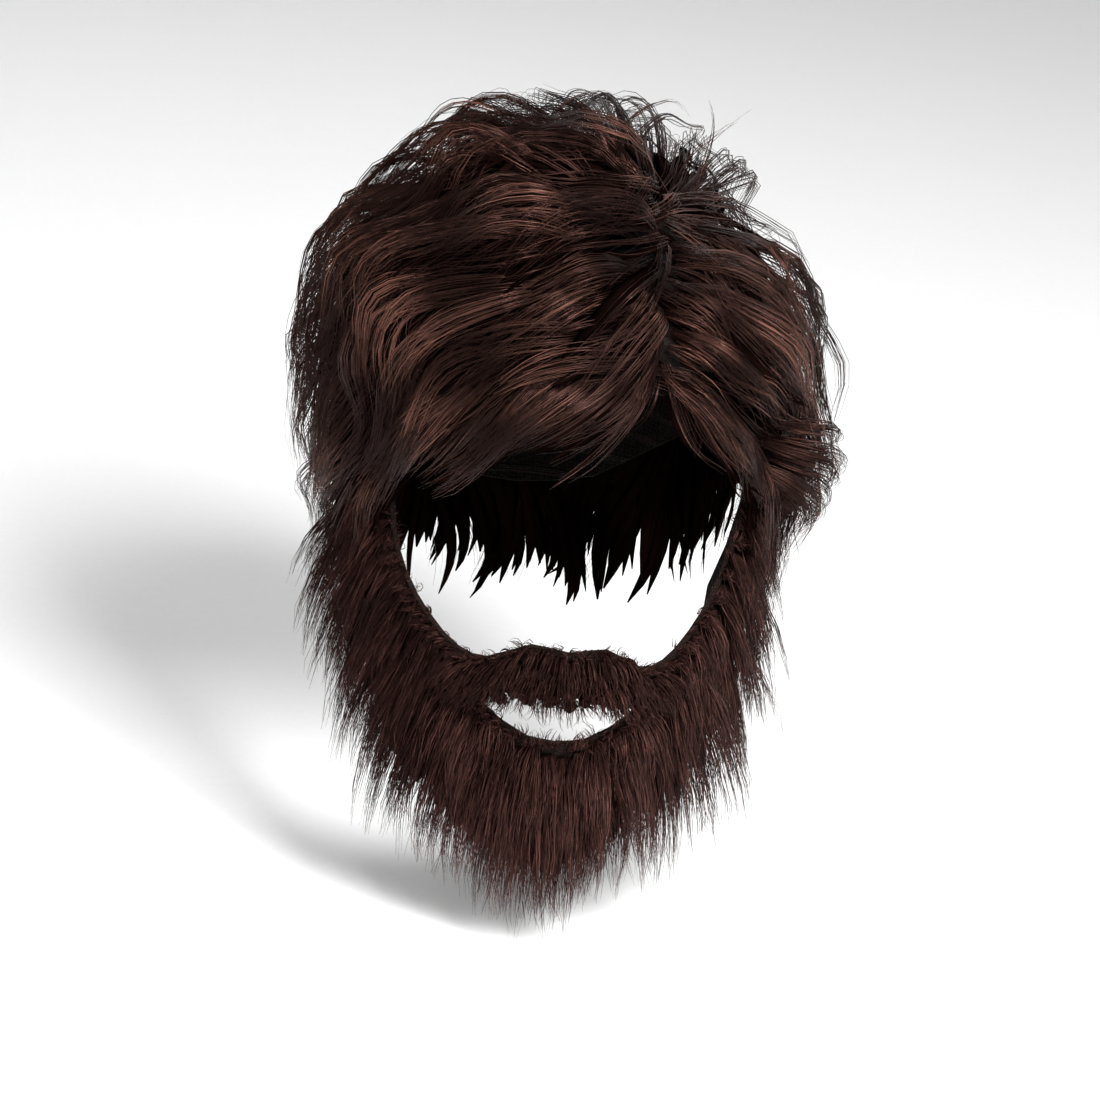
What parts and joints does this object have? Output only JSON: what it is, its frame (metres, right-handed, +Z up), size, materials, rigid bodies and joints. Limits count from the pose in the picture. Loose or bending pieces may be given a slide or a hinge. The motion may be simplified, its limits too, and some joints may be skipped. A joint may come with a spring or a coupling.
{
  "type": "wig with beard",
  "caption": "Shaggy short dark-brown wig on a thin cap, with a full beard and moustache on a cloth backing that has a mouth hole, kept in its worn form.",
  "frame": {"origin": "crown seat: the highest point of the cap's inside, where a head bears on it", "axes": "+Z is up, the face looks along -Y and the wearer's left is +X"},
  "size_m": [0.2147, 0.2372, 0.2965],
  "materials": {
    "cap_net": "thin dark elastic net with sewn weft bands",
    "wig_hair": "glossy synthetic hair in dark reddish brown",
    "beard_backing": "matt knitted backing cloth",
    "beard_fur": "duller pile fur in very dark brown"
  },
  "bodies": {
    "root": {"wig_cap": "cap_net", "crown_hair": "wig_hair", "fringe": "wig_hair", "side_hair_left": "wig_hair", "side_hair_right": "wig_hair", "nape_hair": "wig_hair", "beard_cloth": "beard_backing", "sideburn_left": "beard_fur", "sideburn_right": "beard_fur", "chin_fur": "beard_fur", "moustache": "beard_fur"}
  },
  "joints": []
}
